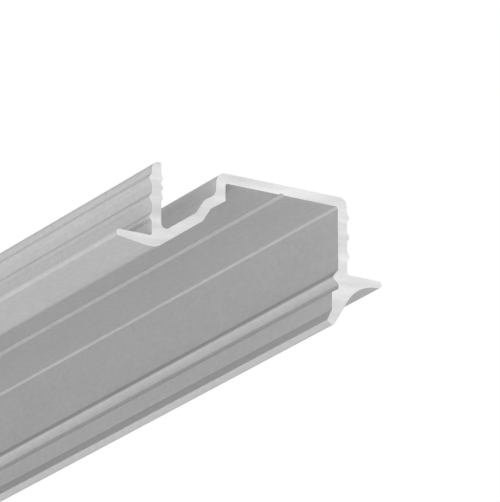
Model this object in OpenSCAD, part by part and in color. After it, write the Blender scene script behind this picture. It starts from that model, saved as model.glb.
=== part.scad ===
// Recessed aluminium profile for a self-adhesive light strip, one extruded bar.
// It is pushed up into a milled slot until its two flanges seat on the board,
// with the opening facing down. The bar runs along Y and is cut square at both ends.
// X is across the slot and Z is up. Z = 0 is the seating plane of the flanges.

/* [Bar] */
// Length of the bar
length = 500; // [100:50:3000]
// Width between the outer faces of the two side walls
body_w = 21.7; // [20.5:0.1:26]
// Height of the back above the seating plane
body_h = 7.75; // [7.4:0.05:10]
// Wall thickness of the extrusion
wall = 1.0; // [0.8:0.05:1.2]
// How much lower than the back the free left wall ends
left_wall_drop = 0.25; // [0:0.05:0.8]

/* [Strip seat] */
// Width of the flat seat for the strip
seat_w = 12.6; // [10:0.1:13.2]
// Width of the vee-shaped centring groove in the seat
mark_w = 0.76; // [0.5:0.02:1.2]
// Depth of the centring groove
mark_d = 0.19; // [0.1:0.01:0.35]

/* [Flanges] */
// How far each flange reaches past its side wall
flange_w = 3.85; // [3:0.05:5]
// Thickness of a flange at its tip
flange_tip_t = 0.64; // [0.45:0.01:0.75]
// Thickness of the left flange at its root
flange_root_t = 1.08; // [0.9:0.02:1.3]
// Slope of the right flange's underside next to its tip, in degrees
flange_slope = 7; // [4:1:10]
// Radius of the hollow between the right flange and the leg
flange_hollow_r = 3.9; // [2.4:0.1:4.2]

/* [Stepped web] */
// Height of the upright step beside the seat, on its inner side
step_h = 1.8; // [1.5:0.05:2]
// Run of the web's upper slope
upper_run = 1.6; // [1.4:0.05:1.8]
// Rise of the web's upper slope
upper_rise = 1.04; // [0.9:0.02:1.2]
// Run of the web's steep middle slope
steep_run = 0.93; // [0.8:0.01:1.1]
// Rise of the web's steep middle slope
steep_rise = 1.44; // [1.2:0.02:1.6]
// Distance from the left wall's outer face to the foot of the web
web_foot = 0.52; // [0.3:0.02:0.7]

/* [Cover clip] */
// How far the clip nib stands out from the right wall
nib_reach = 0.66; // [0.5:0.02:0.7]
// Depth of the nib's edge below the seating plane
nib_z = 0.46; // [0.4:0.02:0.6]
// Height of the nib's upper slope
nib_rise = 0.8; // [0.6:0.05:1]
// Height of the nib's lower slope, which is the upper side of the cover groove
nib_fall = 0.62; // [0.5:0.02:0.7]
// Height of the floor of the cover groove
groove_h = 0.5; // [0.4:0.05:0.6]
// Height of the groove's lower side
groove_fall = 0.45; // [0.35:0.05:0.6]

/* [Leg] */
// How far the leg is set in from the right wall's inner face
leg_inset = 0.74; // [0.6:0.02:0.8]
// Depth of the bend of the leg below the seating plane
leg_bend_z = 3.77; // [3.4:0.05:4.1]
// How far the leg leans in below its bend
leg_lean_x = 0.55; // [0.4:0.05:0.7]
// Height of the leaning part
leg_lean_z = 1.16; // [1:0.02:1.3]
// Slope of the leg's outer face, in degrees
leg_slope = 59; // [57:1:62]
// Width of the bevelled end of the leg
leg_end_w = 0.82; // [0.7:0.02:0.9]
// Slope of the bevelled end, in degrees
leg_end_slope = 37; // [30:1:42]

/* [Ribs] */
// Number of gripping ribs on the outer face of each side wall
rib_count = 3; // [1:1:3]
// Distance between ribs
rib_pitch = 1.95; // [1.6:0.05:2.1]
// Height of the lowest rib above the seating plane
rib_first_z = 1.9; // [1.5:0.05:2]
// Height of one rib between the lines where its flanks meet the wall
rib_h = 1.0; // [0.7:0.05:1.1]
// Slope of a rib's flanks to the wall, in degrees
rib_slope = 33; // [25:1:45]
// Radius of a rib's back and of the hollows at its two roots
rib_r = 0.36; // [0.2:0.02:0.5]
// Number of low ridges on the inner face of the left wall
ridge_count = 3; // [1:1:3]
// Distance between the ridges
ridge_pitch = 0.98; // [0.9:0.02:1.1]
// Height of the middle of the ridges above the seating plane
ridge_mid_z = 4.95; // [4.6:0.05:5.2]
// Height of one ridge between the lines where its flanks meet the wall
ridge_h = 0.8; // [0.7:0.02:0.9]
// Slope of a ridge's flanks to the wall, in degrees
ridge_slope = 30; // [26:1:36]
// Radius of a ridge's back and of the hollows at its two roots
ridge_r = 0.32; // [0.2:0.02:0.4]

/* [Edge radii] */
// Inner corners of the seat
seat_r = 0.3; // [0.1:0.05:0.4]
// Outer corner of the back above the step
back_left_r = 1.05; // [0.5:0.05:1.2]
// Outer corner of the back above the right wall
back_right_r = 0.8; // [0.4:0.05:1]
// Outer corner of the left wall's free edge, as a share of the wall's thickness
wall_top_share = 0.75; // [0.2:0.05:0.8]
// Inner corner of the left wall's free edge, as a share of the wall's thickness
wall_top_inner_share = 0.15; // [0.05:0.05:0.2]
// Corners of the flange tips, as a share of the tips' thickness
tip_share = 0.38; // [0.2:0.02:0.42]
// Inner corners between flange and wall
root_r = 0.3; // [0.1:0.05:0.35]
// Bend under the root of the left flange
flange_bend_r = 0.8; // [0.3:0.1:1.2]
// Bend from the left flange's root into the web
web_foot_r = 1.6; // [0.4:0.1:2.2]
// Bottom of the pocket between left wall and web
pocket_r = 0.5; // [0.3:0.05:0.6]
// Hollow between the web and the step
step_hollow_r = 1.2; // [0.6:0.1:1.4]
// Bends of the web
web_r = 0.35; // [0.1:0.05:0.5]
// Edge of the clip nib
nib_r = 0.24; // [0.08:0.02:0.28]
// Inner corner above the clip nib
nib_root_r = 0.3; // [0.1:0.05:0.4]
// Floor corners of the cover groove
groove_r = 0.18; // [0.1:0.02:0.4]
// Outer lower corner of the leg's bevelled end
leg_toe_r = 0.22; // [0.1:0.02:0.3]
// Small outer corners of the step and the leg
edge_r = 0.12; // [0.05:0.01:0.16]

/* [Hidden] */
$fn = 64;
sliver_bite = 0.05;
// Arcs are this much larger than tangent ones, so that they cross the straight faces
// cleanly and leave no hair-thin edge where they run in
arc_crossing = 0.0005;

// Side walls
outer_x = body_w / 2;
inner_x = outer_x - wall;
left_wall_h = body_h - left_wall_drop;
wall_top_r = wall * wall_top_share;
wall_top_inner_r = wall * wall_top_inner_share;
tip_x = outer_x + flange_w;
tip_r = flange_tip_t * tip_share;

// Seat
seat_z = body_h - wall;
seat_left_x = inner_x - seat_w;
seat_mid_x = inner_x - seat_w / 2;

// Underside of the web, from its foot up to the step
web_under = [
    [web_foot - outer_x, -flange_root_t],
    [seat_left_x - upper_run - steep_run, seat_z - step_h - upper_rise - steep_rise],
    [seat_left_x - upper_run, seat_z - step_h - upper_rise],
    [seat_left_x, seat_z - step_h]
];

// Inner side of the right wall below the seating plane
nib_x = inner_x - nib_reach;
groove_top_z = -nib_z - nib_fall;
groove_low_z = groove_top_z - groove_h;
leg_x = inner_x - leg_inset;
leg_end = [leg_x - leg_lean_x, -leg_bend_z - leg_lean_z];
leg_toe = leg_end + leg_end_w * [cos(leg_end_slope), -sin(leg_end_slope)];

// Small helpers on points and lines
function unit(v) = v / norm(v);
function side(v) = [-v[1], v[0]];
function cross2(a, b) = a[0] * b[1] - a[1] * b[0];
// Point where the line through p along u meets the line through q along v
function meet(p, u, q, v) = p + u * cross2(q - p, v) / cross2(u, v);
// Line through a and b, moved sideways by d, as a point and a direction
function moved(a, b, d) = [a + side(unit(b - a)) * d, unit(b - a)];
function meet_lines(l, m) = meet(l[0], l[1], m[0], m[1]);

// Upper side of the web, one wall thickness from its underside
web_lines = [for (i = [0:2]) moved(web_under[i], web_under[i + 1], wall)];
step_outer = [[seat_left_x - wall, 0], [0, 1]];
pocket_wall = [[-inner_x, 0], [0, 1]];
pocket_corner = meet_lines(web_lines[0], pocket_wall);
web_low_bend = meet_lines(web_lines[0], web_lines[1]);
web_high_bend = meet_lines(web_lines[1], web_lines[2]);
step_hollow = meet_lines(web_lines[2], step_outer);

// Where the right flange's underside runs into the leg's outer face
flange_dir = [cos(flange_slope), sin(flange_slope)];
leg_dir = [cos(leg_slope), sin(leg_slope)];
flange_hollow = meet([tip_x, -flange_tip_t], flange_dir, leg_toe, leg_dir);

// Corners of the section as [x, z, radius], anticlockwise from the left flange tip
CORNERS = [
    [-tip_x, -flange_tip_t, tip_r],
    [-outer_x - web_foot, -flange_root_t, flange_bend_r],
    [web_under[0][0], web_under[0][1], web_foot_r],
    [web_under[1][0], web_under[1][1], web_r],
    [web_under[2][0], web_under[2][1], web_r],
    [web_under[3][0], web_under[3][1], edge_r],
    [seat_left_x, seat_z, seat_r],
    [inner_x, seat_z, seat_r],
    [inner_x, nib_rise - nib_z, nib_root_r],
    [nib_x, -nib_z, nib_r],
    [inner_x, groove_top_z, groove_r],
    [inner_x, groove_low_z, groove_r],
    [leg_x, groove_low_z - groove_fall, edge_r],
    [leg_x, -leg_bend_z, web_r],
    [leg_end[0], leg_end[1], edge_r],
    [leg_toe[0], leg_toe[1], leg_toe_r],
    [flange_hollow[0], flange_hollow[1], flange_hollow_r],
    [tip_x, -flange_tip_t, tip_r],
    [tip_x, 0, tip_r],
    [outer_x, 0, root_r],
    [outer_x, body_h, back_right_r],
    [seat_left_x - wall, body_h, back_left_r],
    [step_hollow[0], step_hollow[1], step_hollow_r],
    [web_high_bend[0], web_high_bend[1], web_r],
    [web_low_bend[0], web_low_bend[1], web_r],
    [pocket_corner[0], pocket_corner[1], pocket_r],
    [-inner_x, left_wall_h, wall_top_inner_r],
    [-outer_x, left_wall_h, wall_top_r],
    [-outer_x, 0, root_r],
    [-tip_x, 0, tip_r]
];

function corner(i) = let (c = CORNERS[(i + len(CORNERS)) % len(CORNERS)]) [c[0], c[1]];
function into(i) = unit(corner(i) - corner(i - 1));
function out_of(i) = unit(corner(i + 1) - corner(i));
// Angle turned at a corner, positive where the corner points out of the metal
function turn(i) = atan2(cross2(into(i), out_of(i)), into(i) * out_of(i));

function radius(i) = CORNERS[i][2];
function reach(i) = radius(i) * tan(abs(turn(i)) / 2);
function arc_start(i) = corner(i) - reach(i) * into(i);
function arc_end(i) = corner(i) + reach(i) * out_of(i);
function arc_centre(i) = arc_start(i) + side(into(i)) * radius(i) * sign(turn(i));
function hollow(i) = turn(i) < 0;

// What rounding takes off an outer corner, with a little of the air beyond it
module corner_sliver(i) {
    beyond = 1 + sliver_bite / radius(i);
    sharp = [arc_start(i), corner(i), arc_end(i)];
    difference() {
        translate(arc_centre(i))
            polygon([[0, 0], for (p = sharp) (p - arc_centre(i)) * beyond]);
        translate(arc_centre(i)) circle(radius(i) + arc_crossing);
    }
}

// Section with every corner rounded. A hollow corner is first filled straight across
// between the ends of its arc, and the arc is then cut into the filling.
module rounded_section() {
    last = len(CORNERS) - 1;
    difference() {
        polygon([for (i = [0:last]) each hollow(i) ? [arc_start(i), arc_end(i)] : [corner(i)]]);
        for (i = [0:last])
            if (hollow(i)) translate(arc_centre(i)) circle(radius(i) + arc_crossing);
        for (i = [0:last])
            if (!hollow(i)) corner_sliver(i);
    }
}

// One rib standing out to the left of the line x = 0, centred on z = 0. Its back and
// the hollows at its roots have the same radius, with a short straight flank between.
module rib(height, slope, r) {
    root_reach = r * tan(slope / 2);
    root_z = height / 2 + root_reach;
    flank_low = [-root_reach * sin(slope), height / 2 - root_reach * cos(slope)];
    back_x = -height / 2 * tan(slope) + r / cos(slope);
    flank_high = [back_x - r * cos(slope), r * sin(slope)];
    half = [[wall / 2, root_z], [0, root_z], flank_low, flank_high];
    difference() {
        union() {
            polygon([each half, for (i = [3:-1:0]) [half[i][0], -half[i][1]]]);
            translate([back_x, 0]) circle(r + arc_crossing);
        }
        for (z = [-root_z, root_z]) translate([-r, z]) circle(r + arc_crossing);
    }
}

module outer_ribs() {
    for (i = [0:rib_count - 1])
        translate([-outer_x, rib_first_z + i * rib_pitch]) rib(rib_h, rib_slope, rib_r);
}

module inner_ridges() {
    for (i = [0:ridge_count - 1])
        translate([-inner_x, ridge_mid_z + (i - (ridge_count - 1) / 2) * ridge_pitch])
            mirror([1, 0]) rib(ridge_h, ridge_slope, ridge_r);
}

module section() {
    difference() {
        rounded_section();
        translate([seat_mid_x, seat_z])
            polygon([[0, mark_d], [-mark_w, -mark_d], [mark_w, -mark_d]]);
    }
    outer_ribs();
    mirror([1, 0]) outer_ribs();
    inner_ridges();
}

module profile() {
    color("silver")
        rotate([90, 0, 0])
            linear_extrude(height = length, center = true)
                section();
}

profile();
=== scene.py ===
"""Looks of a recessed aluminium profile for a light strip.

One extruded bar, silver anodised and sawn square, is swept from its section with true arcs,
dressed with an anodised and a sawn finish, and seen from below its near end on a long lens.
Lengths are metres unless a name ends in _mm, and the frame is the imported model's own.
"""
import logging
import math
from dataclasses import dataclass, field
from enum import Enum

import bpy
import numpy as np
from mathutils import Matrix, Vector


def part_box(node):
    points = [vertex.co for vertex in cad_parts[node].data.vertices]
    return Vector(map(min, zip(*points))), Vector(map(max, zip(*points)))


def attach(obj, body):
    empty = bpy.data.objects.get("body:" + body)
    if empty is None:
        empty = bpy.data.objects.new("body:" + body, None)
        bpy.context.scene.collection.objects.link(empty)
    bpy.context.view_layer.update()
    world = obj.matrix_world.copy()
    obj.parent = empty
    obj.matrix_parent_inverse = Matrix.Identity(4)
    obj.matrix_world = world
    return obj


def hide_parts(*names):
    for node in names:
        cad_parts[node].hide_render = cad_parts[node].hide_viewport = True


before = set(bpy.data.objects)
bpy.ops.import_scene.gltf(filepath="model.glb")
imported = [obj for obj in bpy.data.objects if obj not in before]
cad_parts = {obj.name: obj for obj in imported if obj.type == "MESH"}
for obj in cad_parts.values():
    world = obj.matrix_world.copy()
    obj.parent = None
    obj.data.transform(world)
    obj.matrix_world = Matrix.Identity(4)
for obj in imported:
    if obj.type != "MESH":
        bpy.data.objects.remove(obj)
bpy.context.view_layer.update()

LOG = logging.getLogger("profile_scene")
MM = 0.001
IMAGE_WIDTH_PX = 500
IMAGE_HEIGHT_PX = 502
UV_NAME = "surface"
NOISE_RANGE = (0.3, 0.7)
PLAIN_DETAIL = 1.0
SOFT_DETAIL = 2.0
FINE_DETAIL = 3.0
FINE_GRIT = 0.6

Pair = tuple[float, float]
Triple = tuple[float, float, float]
Socket = bpy.types.NodeSocket


class Face(Enum):
    """The two kinds of surface on the bar, by the number of their material slot."""

    ANODISED = 0
    SAWN = 1


def unit(vectors: np.ndarray) -> np.ndarray:
    """Vectors along the last axis, each divided by its length."""
    return vectors / np.linalg.norm(vectors, axis=-1, keepdims=True)


def left_of(vectors: np.ndarray) -> np.ndarray:
    """Flat vectors turned a quarter turn anticlockwise: (x, z) becomes (-z, x)."""
    return np.stack([-vectors[..., 1], vectors[..., 0]], axis=-1)


def cross(a: np.ndarray, b: np.ndarray) -> np.ndarray:
    """The turn from flat vector a to flat vector b: a_x b_z minus a_z b_x."""
    return a[..., 0] * b[..., 1] - a[..., 1] * b[..., 0]


def meet(p: np.ndarray, u: np.ndarray, q: np.ndarray, v: np.ndarray) -> np.ndarray:
    """Where the flat line from p along u meets the one from q along v: p + u (q - p) x v / u x v."""
    return p + u * cross(q - p, v) / cross(u, v)


def slope(degrees: float) -> np.ndarray:
    """The flat direction at that angle above the X axis."""
    angle = math.radians(degrees)
    return np.array([math.cos(angle), math.sin(angle)])


def lengthened(cells_per_m: float, stretch: float) -> Triple:
    """The scale of a noise with that many cells a metre, which are stretched along Y."""
    return cells_per_m, cells_per_m / stretch, cells_per_m


@dataclass
class Stroke:
    """A run of outline points that lie on one arc, or a single sharp corner."""

    points: np.ndarray
    normals: np.ndarray


@dataclass(frozen=True)
class Ribs:
    """A row of equal ribs on a straight wall, rounded on the back and hollow at the roots."""

    count: int
    pitch_mm: float
    middle_mm: float
    height_mm: float
    slope_deg: float
    radius_mm: float
    steps: int = 11

    def strokes(self, wall_mm: float, outward: float, upward: bool) -> list[Stroke]:
        """The ribs as arcs, in the order in which the outline meets them.

        A rib has three arcs of one radius r. With s for the slope and h for half the
        height, the root arcs are centred r outside the wall, at h + r tan(s / 2) above and
        below the middle, and the back's arc is centred h tan(s) - r / cos(s) outside it.
        The normal swings from level to -s, then to +s, and back to level.

        Args:
            wall_mm: the wall's x.
            outward: 1 if the ribs point to +X, or -1.
            upward: whether the outline runs upwards along this wall.

        Returns:
            Three strokes for each rib.
        """
        slope_rad = math.radians(self.slope_deg)
        half, r = self.height_mm / 2, self.radius_mm
        root_z = half + r * math.tan(slope_rad / 2)
        back_x = half * math.tan(slope_rad) - r / math.cos(slope_rad)
        way = 1.0 if upward else -1.0
        places = (np.arange(self.count) - (self.count - 1) / 2) * self.pitch_mm * way + self.middle_mm
        swings = ((0.0, -slope_rad, r, -way * root_z, -r), (-slope_rad, slope_rad, back_x, 0.0, r),
                  (slope_rad, 0.0, r, way * root_z, -r))
        found: list[Stroke] = []
        for place in places:
            for first, last, x, z, reach in swings:
                angles = np.linspace(first, last, self.steps) * way
                normals = np.stack([np.cos(angles) * outward, np.sin(angles)], axis=-1)
                centre = np.array([wall_mm + outward * x, place + z])
                found.append(Stroke(centre + normals * reach, normals))
        return found


@dataclass
class Section:
    """The bar's section in millimetres: x across the slot, z up, zero on the seating plane."""

    body_w: float = 21.7
    body_h: float = 7.75
    wall: float = 1.0
    left_wall_drop: float = 0.25
    seat_w: float = 12.6
    mark_w: float = 0.76
    mark_d: float = 0.19
    flange_w: float = 3.85
    flange_tip_t: float = 0.64
    flange_root_t: float = 1.08
    flange_slope: float = 7.0
    flange_hollow_r: float = 3.9
    step_h: float = 1.8
    upper_run: float = 1.6
    upper_rise: float = 1.04
    steep_run: float = 0.93
    steep_rise: float = 1.44
    web_foot: float = 0.52
    nib_reach: float = 0.66
    nib_z: float = 0.46
    nib_rise: float = 0.8
    nib_fall: float = 0.62
    groove_h: float = 0.5
    groove_fall: float = 0.45
    leg_inset: float = 0.74
    leg_bend_z: float = 3.77
    leg_lean_x: float = 0.55
    leg_lean_z: float = 1.16
    leg_slope: float = 59.0
    leg_end_w: float = 0.82
    leg_end_slope: float = 37.0
    seat_r: float = 0.3
    back_left_r: float = 1.05
    back_right_r: float = 0.8
    wall_top_share: float = 0.75
    wall_top_inner_share: float = 0.15
    tip_share: float = 0.38
    root_r: float = 0.3
    flange_bend_r: float = 0.8
    web_foot_r: float = 1.6
    pocket_r: float = 0.5
    step_hollow_r: float = 1.2
    web_r: float = 0.35
    nib_r: float = 0.24
    nib_root_r: float = 0.3
    groove_r: float = 0.18
    leg_toe_r: float = 0.22
    edge_r: float = 0.12
    grip: Ribs = Ribs(
        count=3, pitch_mm=1.95, middle_mm=3.85, height_mm=1.0, slope_deg=33.0, radius_mm=0.36
    )
    ridges: Ribs = Ribs(
        count=3, pitch_mm=0.98, middle_mm=4.95, height_mm=0.8, slope_deg=30.0, radius_mm=0.32
    )
    arc_steps: int = 11

    @property
    def outer_x(self) -> float:
        """The side walls' outer faces, left and right of the middle."""
        return self.body_w / 2

    @property
    def inner_x(self) -> float:
        """The side walls' inner faces."""
        return self.outer_x - self.wall

    @property
    def tip_x(self) -> float:
        """The flange tips."""
        return self.outer_x + self.flange_w

    def web_under(self) -> np.ndarray:
        """The four bends of the web's underside.

        Returns:
            Their x and z, from the web's foot up to the step.
        """
        left = self.inner_x - self.seat_w
        foot_of_step = self.body_h - self.wall - self.step_h
        high = [left - self.upper_run, foot_of_step - self.upper_rise]
        return np.array(
            [
                [self.web_foot - self.outer_x, -self.flange_root_t],
                [high[0] - self.steep_run, high[1] - self.steep_rise],
                high,
                [left, foot_of_step],
            ]
        )

    def web_over(self) -> np.ndarray:
        """The four bends of the web's upper side.

        Each stretch of the underside is moved one wall thickness to its left, and the
        bends are where the moved lines meet each other, the left wall and the step.

        Returns:
            Their x and z, from the pocket up to the step.
        """
        under = self.web_under()
        ways = unit(np.diff(under, axis=0))
        starts = under[:-1] + left_of(ways) * self.wall
        upright = np.array([0.0, 1.0])
        pocket_wall = np.array([-self.inner_x, 0.0])
        step = np.array([under[3][0] - self.wall, 0.0])
        return np.array(
            [
                meet(starts[0], ways[0], pocket_wall, upright),
                meet(starts[0], ways[0], starts[1], ways[1]),
                meet(starts[1], ways[1], starts[2], ways[2]),
                meet(starts[2], ways[2], step, upright),
            ]
        )

    def corners(self) -> dict[str, Triple]:
        """Every corner of the outline, without the ribs and the centring groove.

        Returns:
            Each corner's x, z and radius by its name, anticlockwise from the left flange's tip.
        """
        seat_z = self.body_h - self.wall
        left = self.inner_x - self.seat_w
        groove_top = -self.nib_z - self.nib_fall
        groove_low = groove_top - self.groove_h
        leg_x = self.inner_x - self.leg_inset
        leg_end = np.array([leg_x - self.leg_lean_x, -self.leg_bend_z - self.leg_lean_z])
        leg_toe = leg_end + self.leg_end_w * slope(-self.leg_end_slope)
        tip_under = np.array([self.tip_x, -self.flange_tip_t])
        hollow = meet(tip_under, slope(self.flange_slope), leg_toe, slope(self.leg_slope))
        under, over = self.web_under(), self.web_over()
        left_top = self.body_h - self.left_wall_drop
        tip_r = self.flange_tip_t * self.tip_share
        return {
            "left tip under": (-self.tip_x, -self.flange_tip_t, tip_r),
            "left flange bend": (-self.outer_x - self.web_foot, -self.flange_root_t, self.flange_bend_r),
            "web foot": (*under[0], self.web_foot_r),
            "web low bend": (*under[1], self.web_r),
            "web high bend": (*under[2], self.web_r),
            "step edge": (*under[3], self.edge_r),
            "seat left": (left, seat_z, self.seat_r),
            "seat right": (self.inner_x, seat_z, self.seat_r),
            "nib top": (self.inner_x, self.nib_rise - self.nib_z, self.nib_root_r),
            "nib": (self.inner_x - self.nib_reach, -self.nib_z, self.nib_r),
            "groove top": (self.inner_x, groove_top, self.groove_r),
            "groove low": (self.inner_x, groove_low, self.groove_r),
            "groove lip": (leg_x, groove_low - self.groove_fall, self.edge_r),
            "leg bend": (leg_x, -self.leg_bend_z, self.web_r),
            "leg end": (*leg_end, self.edge_r),
            "leg toe": (*leg_toe, self.leg_toe_r),
            "flange hollow": (*hollow, self.flange_hollow_r),
            "right tip under": (*tip_under, tip_r),
            "right tip": (self.tip_x, 0.0, tip_r),
            "right root": (self.outer_x, 0.0, self.root_r),
            "back right": (self.outer_x, self.body_h, self.back_right_r),
            "back left": (left - self.wall, self.body_h, self.back_left_r),
            "step hollow": (*over[3], self.step_hollow_r),
            "over high bend": (*over[2], self.web_r),
            "over low bend": (*over[1], self.web_r),
            "pocket": (*over[0], self.pocket_r),
            "left wall inner top": (-self.inner_x, left_top, self.wall * self.wall_top_inner_share),
            "left wall top": (-self.outer_x, left_top, self.wall * self.wall_top_share),
            "left root": (-self.outer_x, 0.0, self.root_r),
            "left tip": (-self.tip_x, 0.0, tip_r),
        }

    def mark(self) -> list[Stroke]:
        """The vee-shaped centring groove.

        Returns:
            Three sharp corners: its left lip, its bottom and its right lip.
        """
        middle = self.inner_x - self.seat_w / 2
        seat_z = self.body_h - self.wall
        half = self.mark_w / 2
        vee = np.array([[middle - half, seat_z], [middle, seat_z + self.mark_d], [middle + half, seat_z]])
        return [Stroke(vee[i : i + 1], np.array([[0.0, -1.0]])) for i in range(3)]

    def strokes(self) -> list[Stroke]:
        """The whole outline as arcs and sharp corners, with groove and ribs in their places.

        A corner's arc starts before it and ends after it by radius times the tangent of
        half the angle turned there. The arc's points are the start turned about the
        centre by equal shares of that angle, and its normals point away from the metal.

        Returns:
            The strokes, anticlockwise. Straight faces join each to the next.
        """
        named = self.corners()
        table = np.array(list(named.values()))
        at, radius = table[:, :2], table[:, 2]
        into = unit(at - np.roll(at, 1, axis=0))
        out_of = np.roll(into, -1, axis=0)
        turn = np.arctan2(cross(into, out_of), (into * out_of).sum(axis=1))
        start = at - into * (radius * np.tan(np.abs(turn) / 2))[:, None]
        normal = -left_of(into)
        centre = start - normal * (radius * np.sign(turn))[:, None]
        share = turn[:, None] * np.linspace(0.0, 1.0, self.arc_steps)
        cos, sin = np.cos(share)[..., None], np.sin(share)[..., None]
        normals = cos * normal[:, None] + sin * left_of(normal)[:, None]
        points = centre[:, None] + normals * (radius * np.sign(turn))[:, None, None]
        following = {
            "seat left": self.mark(),
            "right root": self.grip.strokes(self.outer_x, 1.0, upward=True),
            "pocket": self.ridges.strokes(-self.inner_x, 1.0, upward=True),
            "left wall top": self.grip.strokes(-self.outer_x, -1.0, upward=False),
        }
        found: list[Stroke] = []
        for i, name in enumerate(named):
            found.append(Stroke(points[i], normals[i]))
            found.extend(following.get(name, []))
        return found


@dataclass
class Outline:
    """The section's outline as whole arrays, in metres.

    points are the corners of the closed outline, and start_normal and end_normal are the
    true normals at the two ends of the face from each point to the next.
    """

    points: np.ndarray
    start_normal: np.ndarray
    end_normal: np.ndarray

    @classmethod
    def of(cls, section: Section) -> "Outline":
        """The outline of a section. Straight faces have one normal, arcs have radial ones.

        Args:
            section: the section in millimetres.

        Returns:
            The outline in metres.
        """
        strokes = section.strokes()
        points = np.concatenate([s.points for s in strokes]) * MM
        normals = np.concatenate([s.normals for s in strokes])
        owner = np.repeat(np.arange(len(strokes)), [len(s.points) for s in strokes])
        curved = (owner == np.roll(owner, -1))[:, None]
        flat = -left_of(unit(np.roll(points, -1, axis=0) - points))
        start = np.where(curved, normals, flat)
        end = np.where(curved, np.roll(normals, -1, axis=0), flat)
        return cls(points, start, end)

    @property
    def along(self) -> np.ndarray:
        """Distance round the outline at each point, with the whole way round at the end."""
        steps = np.linalg.norm(np.roll(self.points, -1, axis=0) - self.points, axis=1)
        return np.concatenate([[0.0], np.cumsum(steps)])

    def shrunk(self, by: float) -> np.ndarray:
        """The points moved into the metal, each along the mean normal of its two faces."""
        mean = unit(self.start_normal + np.roll(self.end_normal, 1, axis=0))
        return self.points - mean * by


@dataclass(frozen=True)
class Lustre:
    """How far a finish mirrors its surroundings.

    metallic is the share of bare metal against matt oxide, slant is how much is mirrored at
    a glancing angle, and gloss is the oxide's own reflection.
    """

    metallic: float = 0.5
    slant: float = 0.5
    gloss: float = 0.2


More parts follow.
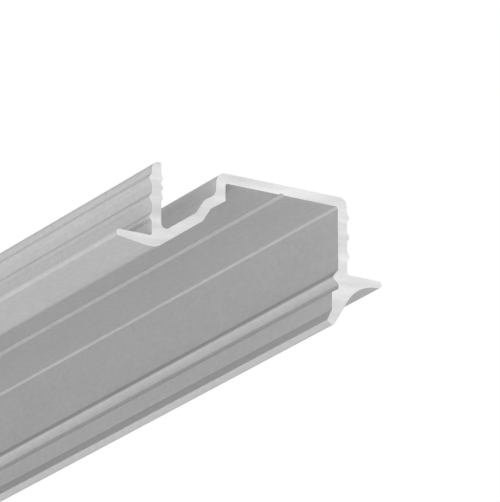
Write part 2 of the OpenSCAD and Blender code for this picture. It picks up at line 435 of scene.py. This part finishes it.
class NodeTree:
    """A small helper that adds and joins the shader nodes of one material or world."""

    def __init__(
        self, owner: bpy.types.Material | bpy.types.World, output: str = "ShaderNodeOutputMaterial"
    ) -> None:
        """Empties the owner's tree and adds its output.

        Args:
            owner: the material or world.
            output: the type of its output node.
        """
        self.owner = owner
        self.owner.use_nodes = True
        self.tree = owner.node_tree
        self.tree.nodes.clear()
        self.output = self.add(output)

    def add(self, kind: str, **settings: object) -> bpy.types.Node:
        """Adds a node.

        Args:
            kind: the node's type.
            settings: the properties to set on it, by name.

        Returns:
            The node.
        """
        node = self.tree.nodes.new(kind)
        for key, value in settings.items():
            setattr(node, key, value)
        return node

    def link(self, source: Socket, target: Socket) -> None:
        """Joins two sockets."""
        self.tree.links.new(source, target)

    def mapped(self, source: Socket, scale: Triple, turn: float = 0.0) -> Socket:
        """Coordinates turned about their Y axis, and then scaled.

        Args:
            source: the coordinates.
            scale: the factor along each axis.
            turn: the turn in radians.

        Returns:
            The new coordinates.
        """
        turned = self.add("ShaderNodeMapping")
        turned.inputs["Rotation"].default_value = (0.0, turn, 0.0)
        scaled = self.add("ShaderNodeMapping")
        scaled.inputs["Scale"].default_value = scale
        self.link(source, turned.inputs["Vector"])
        self.link(turned.outputs["Vector"], scaled.inputs["Vector"])
        return scaled.outputs["Vector"]

    def noise(self, vector: Socket, detail: float, grit: float = 0.5) -> Socket:
        """A noise texture.

        Args:
            vector: coordinates that are already to scale.
            detail: how many finer layers the noise has.
            grit: how strong each finer layer is against the one before.

        Returns:
            The noise, which mostly stays within NOISE_RANGE.
        """
        node = self.add("ShaderNodeTexNoise")
        node.inputs["Scale"].default_value = 1.0
        node.inputs["Detail"].default_value = detail
        node.inputs["Roughness"].default_value = grit
        self.link(vector, node.inputs["Vector"])
        return node.outputs[0]

    def between(self, value: Socket, target: Pair, source: Pair = NOISE_RANGE) -> Socket:
        """A value spread from one range to another, and held within it.

        Args:
            value: the value.
            target: the least and the most that come out.
            source: the values at which they do.

        Returns:
            The new value.
        """
        node = self.add("ShaderNodeMapRange")
        node.inputs["From Min"].default_value, node.inputs["From Max"].default_value = source
        node.inputs["To Min"].default_value, node.inputs["To Max"].default_value = target
        self.link(value, node.inputs["Value"])
        return node.outputs["Result"]

    def about(self, noise: Socket, middle: float, swing: float) -> Socket:
        """A noise that swings that far to each side of a middle value."""
        return self.between(noise, (middle - swing, middle + swing))

    def worked(self, operation: str, a: Socket, b: Socket) -> Socket:
        """Two values worked into one.

        Args:
            operation: the name of the math node's operation.
            a: the first value.
            b: the second value.

        Returns:
            The result.
        """
        node = self.add("ShaderNodeMath", operation=operation)
        self.link(a, node.inputs[0])
        self.link(b, node.inputs[1])
        return node.outputs["Value"]

    def times(self, a: Socket, b: Socket) -> Socket:
        """The product of two values."""
        return self.worked("MULTIPLY", a, b)

    def larger(self, a: Socket, b: Socket) -> Socket:
        """The larger of two values."""
        return self.worked("MAXIMUM", a, b)

    def towards(self, place: Socket, way: Triple) -> Socket:
        """How far a place lies from the origin in one direction.

        Args:
            place: the place.
            way: the direction. Its length scales the result.

        Returns:
            The distance.
        """
        node = self.add("ShaderNodeVectorMath", operation="DOT_PRODUCT")
        node.inputs[1].default_value = way
        self.link(place, node.inputs[0])
        return node.outputs["Value"]

    def tinted(self, value: Socket, colour: Triple) -> Socket:
        """A colour made lighter or darker.

        Args:
            value: the factor.
            colour: the colour at a factor of 1.

        Returns:
            The new colour.
        """
        node = self.add("ShaderNodeVectorMath", operation="SCALE")
        node.inputs[0].default_value = colour
        self.link(value, node.inputs["Scale"])
        return node.outputs["Vector"]

    def bump(self, height: Socket, distance: float, strength: float) -> Socket:
        """A bumpy normal.

        Args:
            height: the height as a value from 0 to 1.
            distance: how many metres high a value of 1 is.
            strength: the share of the bump that is kept.

        Returns:
            The normal.
        """
        node = self.add("ShaderNodeBump")
        node.inputs["Strength"].default_value = strength
        node.inputs["Distance"].default_value = distance
        self.link(height, node.inputs["Height"])
        return node.outputs["Normal"]

    def metal(self, colour: Socket, roughness: Socket, normal: Socket, lustre: Lustre) -> bpy.types.Material:
        """Finishes the tree as metal.

        Args:
            colour: the metal's colour.
            roughness: its roughness.
            normal: its normal.
            lustre: how far it mirrors its surroundings.

        Returns:
            The material.
        """
        shader = self.add("ShaderNodeBsdfPrincipled")
        shader.inputs["Metallic"].default_value = lustre.metallic
        shader.inputs["Specular Tint"].default_value = (lustre.slant, lustre.slant, lustre.slant, 1.0)
        shader.inputs["Specular IOR Level"].default_value = lustre.gloss
        self.link(colour, shader.inputs["Base Color"])
        self.link(roughness, shader.inputs["Roughness"])
        self.link(normal, shader.inputs["Normal"])
        self.link(shader.outputs["BSDF"], self.output.inputs["Surface"])
        return self.owner


@dataclass(frozen=True)
class AnodisedFinish:
    """Satin silver anodising over the fine lengthwise lines that the die leaves.

    A shade is the least and the most by which its pattern multiplies the colour.
    """

    colour: Triple = (0.535, 0.535, 0.535)
    roughness: float = 0.45
    roughness_swing: float = 0.04
    lustre: Lustre = Lustre()
    lines_per_m: float = 5200.0
    line_length: float = 0.12
    line_shade: Pair = (0.985, 1.015)
    line_depth: float = 0.004 * MM
    line_strength: float = 0.6
    grain_per_m: float = 2400.0
    grain_stretch: float = 2.0
    grain_shade: Pair = (0.96, 1.04)
    clouds_per_m: float = 260.0
    cloud_stretch: float = 4.0
    cloud_shade: Pair = (0.985, 1.015)

    def material(self) -> bpy.types.Material:
        """Die lines on the UV map, fine grain and soft clouds on Object coordinates.

        Returns:
            The material.
        """
        t = NodeTree(bpy.data.materials.new("anodised_aluminium"))
        uv = t.add("ShaderNodeUVMap", uv_map=UV_NAME).outputs["UV"]
        place = t.add("ShaderNodeTexCoord").outputs["Object"]
        lines = t.noise(t.mapped(uv, (self.lines_per_m, 1 / self.line_length, 1.0)), FINE_DETAIL, FINE_GRIT)
        grain = t.noise(t.mapped(place, lengthened(self.grain_per_m, self.grain_stretch)), SOFT_DETAIL)
        clouds = t.noise(t.mapped(place, lengthened(self.clouds_per_m, self.cloud_stretch)), SOFT_DETAIL)
        shade = t.times(t.between(lines, self.line_shade), t.between(clouds, self.cloud_shade))
        shade = t.times(shade, t.between(grain, self.grain_shade))
        rough = t.about(lines, self.roughness, self.roughness_swing)
        fine = t.bump(t.times(lines, grain), self.line_depth, self.line_strength)
        return t.metal(t.tinted(shade, self.colour), rough, fine, self.lustre)


@dataclass(frozen=True)
class SawnFinish:
    """Bright bare metal with the long shallow arcs of a circular saw.

    The blade leaves broad bands and fine arcs within them. The face also carries painted light
    and shade: it grows lighter towards its upper right, from dull_at to bright_at. A shade is
    the least and the most by which its pattern multiplies the colour.
    """

    colour: Triple = (0.97, 0.97, 0.97)
    roughness: float = 0.72
    roughness_swing: float = 0.08
    lustre: Lustre = Lustre(metallic=0.16)
    tilt: float = math.radians(3.0)
    arcs_per_m: float = 3600.0
    arc_length: float = 0.0035
    arc_shade: Pair = (0.93, 1.0)
    arc_depth: float = 0.01 * MM
    arc_strength: float = 0.5
    bands_per_m: float = 1000.0
    band_length: float = 0.007
    band_shade: Pair = (0.86, 1.02)
    grain_per_m: float = 3000.0
    grain_shade: Pair = (0.98, 1.01)
    # painted light: the way along which the sawn face is painted lighter, the range of that painted shading,
    # and where it starts and ends
    painted_light_side: Triple = (1.0, 0.0, 1.5)
    painted_light_range: Pair = (0.94, 1.04)
    dull_at: float = -0.005
    bright_at: float = 0.015

    def material(self) -> bpy.types.Material:
        """Noise stretched along the saw's travel at two scales, a fine grain, and painted light that grows
        towards the upper right.

        Returns:
            The material, which is on Object coordinates.
        """
        t = NodeTree(bpy.data.materials.new("sawn_aluminium"))
        place = t.add("ShaderNodeTexCoord").outputs["Object"]
        arc, band = 1 / self.arc_length, 1 / self.band_length
        arcs = t.noise(t.mapped(place, (arc, arc, self.arcs_per_m), self.tilt), FINE_DETAIL, FINE_GRIT)
        bands = t.noise(t.mapped(place, (band, band, self.bands_per_m), self.tilt), PLAIN_DETAIL)
        grain = t.noise(t.mapped(place, lengthened(self.grain_per_m, 1.0)), PLAIN_DETAIL)
        # painted light: a gradient that lightens the colour towards the upper right (+X and +Z)
        painted_light_position = t.towards(place, self.painted_light_side)
        painted_light_factor = t.between(painted_light_position, self.painted_light_range, (self.dull_at, self.bright_at))
        shade = t.times(t.between(arcs, self.arc_shade), t.between(bands, self.band_shade))
        shade = t.times(shade, t.times(painted_light_factor, t.between(grain, self.grain_shade)))
        rough = t.about(arcs, self.roughness, self.roughness_swing)
        fine = t.bump(arcs, self.arc_depth, self.arc_strength)
        return t.metal(t.tinted(shade, self.colour), rough, fine, self.lustre)


@dataclass
class Bar:
    """The extruded bar: its section carried along Y between two sawn ends."""

    near_y: float
    far_y: float
    section: Section = field(default_factory=Section)
    skin_finish: AnodisedFinish = AnodisedFinish()
    end_finish: SawnFinish = SawnFinish()
    edge_break: float = 0.02 * MM
    spans: int = 40

    def stations(self) -> tuple[np.ndarray, np.ndarray]:
        """Where the section is repeated.

        Returns:
            The stations' y, and how far each is shrunk: only the two end ones are, by the
            width of the broken edge.
        """
        inner = np.linspace(self.near_y + self.edge_break, self.far_y - self.edge_break, self.spans + 1)
        y = np.concatenate([[self.near_y], inner, [self.far_y]])
        inset = np.zeros(len(y))
        inset[[0, -1]] = self.edge_break
        return y, inset

    def make(self) -> bpy.types.Object:
        """Builds the bar and dresses it.

        Returns:
            The bar.
        """
        bar = self.build()
        self.dress(bar)
        return bar

    def dress(self, bar: bpy.types.Object) -> None:
        """Gives the bar its finishes, in the order of their slots, and its place in the frame.

        Args:
            bar: the bar as it was built.
        """
        finishes = {Face.ANODISED: self.skin_finish, Face.SAWN: self.end_finish}
        for face in Face:
            bar.data.materials.append(finishes[face].material())
        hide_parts("profile")
        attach(bar, "root")

    def build(self) -> bpy.types.Object:
        """The bar's mesh: a grid of points round the outline and along the bar.

        Point (s, i) is outline point i at station s. The skin is one quad between each two
        stations and outline points, and each sawn end is one flat face.

        Returns:
            The bar, with a UV map that runs round the outline and along the bar in metres.
        """
        outline = Outline.of(self.section)
        y, inset = self.stations()
        count, rows = len(outline.points), len(y)
        flat = np.stack([outline.shrunk(by) for by in inset])
        grid = np.empty((rows, count, 3))
        grid[..., 0], grid[..., 1], grid[..., 2] = flat[..., 0], y[:, None], flat[..., 1]

        s, i = np.meshgrid(np.arange(rows - 1), np.arange(count), indexing="ij")
        j = (i + 1) % count
        quads = np.stack([s * count + i, (s + 1) * count + i, (s + 1) * count + j, s * count + j], axis=-1)
        near = np.arange(count)
        far = (rows - 1) * count + near
        mesh = bpy.data.meshes.new("anodised_bar")
        faces = quads.reshape(-1, 4).tolist() + [near.tolist(), far[::-1].tolist()]
        mesh.from_pydata(grid.reshape(-1, 3).tolist(), [], faces)
        self._lay_out(mesh, outline, grid, y)
        self._shade(mesh, outline, rows)
        bar = bpy.data.objects.new("anodised_bar", mesh)
        bpy.context.scene.collection.objects.link(bar)
        return bar

    @staticmethod
    def _lay_out(mesh: bpy.types.Mesh, outline: Outline, grid: np.ndarray, y: np.ndarray) -> None:
        """Writes the UV map: u round the outline and v along the bar, or x and z on an end.

        Args:
            mesh: the bar's mesh.
            outline: the section's outline.
            grid: the mesh's points by station and outline point.
            y: the stations.
        """
        shape = (len(y) - 1, len(outline.points))
        low, high = (np.broadcast_to(v[:, None], shape) for v in (y[:-1], y[1:]))
        left, right = (np.broadcast_to(u, shape) for u in (outline.along[:-1], outline.along[1:]))
        skin = np.stack([[left, low], [left, high], [right, high], [right, low]])
        skin = skin.transpose(2, 3, 0, 1).reshape(-1, 2)
        near, far = grid[0][:, [0, 2]], grid[-1][::-1][:, [0, 2]]
        layer = mesh.uv_layers.new(name=UV_NAME)
        layer.data.foreach_set("uv", np.concatenate([skin, near, far]).astype(np.float32).ravel())

    @staticmethod
    def _shade(mesh: bpy.types.Mesh, outline: Outline, rows: int) -> None:
        """Gives each face its material slot and the section's true normals.

        The skin has the outline's normals, turned halfway towards the end on the two rows
        of broken edge, and an end face has its own.

        Args:
            mesh: the bar's mesh.
            outline: the section's outline.
            rows: how many stations there are.
        """
        count = len(outline.points)
        lean = np.zeros(rows - 1)
        lean[0], lean[-1] = -1.0, 1.0
        start, end = outline.start_normal, outline.end_normal
        corner = np.stack([start, start, end, end], axis=1)
        skin = np.zeros((rows - 1, count, 4, 3))
        skin[..., 0], skin[..., 2] = corner[..., 0], corner[..., 1]
        skin[..., 1] = lean[:, None, None]
        ends = np.zeros((2 * count, 3))
        ends[:count, 1], ends[count:, 1] = -1.0, 1.0
        normals = np.concatenate([unit(skin).reshape(-1, 3), ends])
        slots = np.full(len(mesh.polygons), Face.ANODISED.value)
        far_break = (rows - 2) * count
        slots[:count] = slots[far_break:] = Face.SAWN.value
        mesh.polygons.foreach_set("material_index", slots)
        mesh.polygons.foreach_set("use_smooth", np.ones(len(mesh.polygons), bool))
        mesh.normals_split_custom_set(normals.tolist())
        mesh.update()


@dataclass(frozen=True)
class PhotoCamera:
    """The photograph's camera: far below the near end, looking up along the bar."""

    turn_deg: float = -31.531
    lift_deg: float = 19.760
    roll_deg: float = -0.228
    focal_px: float = 7615.4
    px_per_mm: float = 10.5467
    target_px: Pair = (250.57, 255.21)
    sensor_mm: float = 36.0
    clip: Pair = (0.05, 20.0)

    def place(self, target: Vector) -> bpy.types.Object:
        """Puts the camera where target falls on its pixel at the stated scale.

        Args:
            target: the middle of the near sawn end, on the seating plane.

        Returns:
            The scene's camera.
        """
        turn, lift, roll = (math.radians(a) for a in (self.turn_deg, self.lift_deg, self.roll_deg))
        level = Vector((math.cos(turn), math.sin(turn), 0.0))
        ahead = Vector((-math.sin(turn) * math.cos(lift), math.cos(turn) * math.cos(lift), math.sin(lift)))
        above = level.cross(ahead)
        right = level * math.cos(roll) + above * math.sin(roll)
        up = above * math.cos(roll) - level * math.sin(roll)
        px_per_m = self.px_per_mm / MM
        across = (self.target_px[0] - IMAGE_WIDTH_PX / 2) / px_per_m
        below = (self.target_px[1] - IMAGE_HEIGHT_PX / 2) / px_per_m
        eye = target - ahead * (self.focal_px / px_per_m) - right * across + up * below
        data = bpy.data.cameras.new("camera")
        data.sensor_width = self.sensor_mm
        data.lens = self.focal_px / max(IMAGE_WIDTH_PX, IMAGE_HEIGHT_PX) * self.sensor_mm
        data.clip_start, data.clip_end = self.clip
        camera = bpy.data.objects.new("camera", data)
        axes = Matrix((right, up, -ahead)).transposed()
        camera.matrix_world = Matrix.Translation(eye) @ axes.to_4x4()
        bpy.context.scene.collection.objects.link(camera)
        bpy.context.scene.camera = camera
        return camera


@dataclass(frozen=True)
class Lamp:
    """A soft square lamp that looks at a point."""

    name: str
    spot: Triple
    size: float
    watts: float

    def place(self, target: Vector) -> bpy.types.Object:
        """Adds the lamp.

        Args:
            target: the point that it looks at, and that its spot is measured from.

        Returns:
            The lamp.
        """
        data = bpy.data.lights.new(self.name, "AREA")
        data.shape = "SQUARE"
        data.size = self.size
        data.energy = self.watts
        lamp = bpy.data.objects.new(self.name, data)
        lamp.visible_camera = False
        lamp.location = target + Vector(self.spot)
        lamp.rotation_euler = (-Vector(self.spot)).to_track_quat("-Z", "Y").to_euler()
        bpy.context.scene.collection.objects.link(lamp)
        return lamp


@dataclass(frozen=True)
class Studio:
    """A white room, a pale floor well below the bar, and a soft lamp low on its open side.

    The floor fades out between the two shares of its radius in floor_fade.
    """

    floor_drop: float = 1.3
    floor_radius: float = 3.0
    floor_fade: Pair = (0.4, 0.95)
    floor_sides: int = 96
    floor_grey: float = 0.9
    floor_glow: float = 0.4
    ambient: float = 0.58
    lamps: tuple[Lamp, ...] = (
        Lamp(name="low_lamp", spot=(-0.74, -0.38, -0.66), size=1.0, watts=10.3),
    )

    def build(self, target: Vector) -> None:
        """Lights the room and lays the floor.

        Args:
            target: the point that the lamps look at.
        """
        self._white_room()
        self._floor()
        for lamp in self.lamps:
            lamp.place(target)

    def _white_room(self) -> None:
        """A world that is plain white where it is seen or mirrored, and softer as a light."""
        t = NodeTree(bpy.data.worlds.new("white_room"), "ShaderNodeOutputWorld")
        path = t.add("ShaderNodeLightPath")
        seen: Socket = path.outputs["Is Camera Ray"]
        for ray in ("Is Glossy Ray", "Is Transmission Ray"):
            seen = t.larger(seen, path.outputs[ray])
        back = t.add("ShaderNodeBackground")
        back.inputs["Color"].default_value = (1.0, 1.0, 1.0, 1.0)
        t.link(t.between(seen, (self.ambient, 1.0), (0.0, 1.0)), back.inputs["Strength"])
        t.link(back.outputs["Background"], t.output.inputs["Surface"])
        bpy.context.scene.world = t.owner

    def _floor(self) -> None:
        """A pale disc that fades out at its rim and is clear from underneath."""
        turn = np.arange(self.floor_sides) * (2 * np.pi / self.floor_sides)
        rim = np.stack([np.cos(turn), np.sin(turn), 0 * turn], axis=-1) * self.floor_radius
        mesh = bpy.data.meshes.new("floor")
        mesh.from_pydata(rim.tolist(), [], [list(range(len(rim)))])
        mesh.transform(Matrix.Translation((0.0, 0.0, -self.floor_drop)))
        floor = bpy.data.objects.new("floor", mesh)
        bpy.context.scene.collection.objects.link(floor)
        mesh.materials.append(self._floor_material())

    def _floor_material(self) -> bpy.types.Material:
        """Matt pale grey that looks near white, clear at the rim and from underneath.

        Returns:
            The material.
        """
        t = NodeTree(bpy.data.materials.new("floor"))
        place = t.add("ShaderNodeTexCoord").outputs["Object"]
        distance = t.add("ShaderNodeVectorMath", operation="LENGTH")
        t.link(t.mapped(place, (1.0, 1.0, 0.0)), distance.inputs[0])
        first, last = self.floor_fade
        rim = (self.floor_radius * first, self.floor_radius * last)
        fade = t.between(distance.outputs["Value"], (0.0, 1.0), rim)
        clear = t.larger(fade, t.add("ShaderNodeNewGeometry").outputs["Backfacing"])
        matt = t.add("ShaderNodeBsdfDiffuse")
        matt.inputs["Color"].default_value = (self.floor_grey, self.floor_grey, self.floor_grey, 1.0)
        seen = t.add("ShaderNodeLightPath").outputs["Is Camera Ray"]
        glow = t.add("ShaderNodeEmission")
        t.link(t.between(seen, (0.0, self.floor_glow), (0.0, 1.0)), glow.inputs["Strength"])
        pale = t.add("ShaderNodeAddShader")
        t.link(matt.outputs["BSDF"], pale.inputs[0])
        t.link(glow.outputs["Emission"], pale.inputs[1])
        glass = t.add("ShaderNodeBsdfTransparent")
        mix = t.add("ShaderNodeMixShader")
        t.link(clear, mix.inputs["Fac"])
        t.link(pale.outputs["Shader"], mix.inputs[1])
        t.link(glass.outputs["BSDF"], mix.inputs[2])
        t.link(mix.outputs["Shader"], t.output.inputs["Surface"])
        return t.owner


def main() -> None:
    """Builds the bar from the frame's own length, then the camera and the studio."""
    logging.basicConfig(level=logging.INFO)
    bpy.context.scene.view_settings.view_transform = "Standard"
    low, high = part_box("profile")
    near_end = Vector((0.0, low.y, 0.0))
    PhotoCamera().place(near_end)
    bar = Bar(near_y=low.y, far_y=high.y).make()
    LOG.info("%s: %d faces", bar.name, len(bar.data.polygons))
    Studio().build(near_end)


if __name__ == "__main__":
    main()
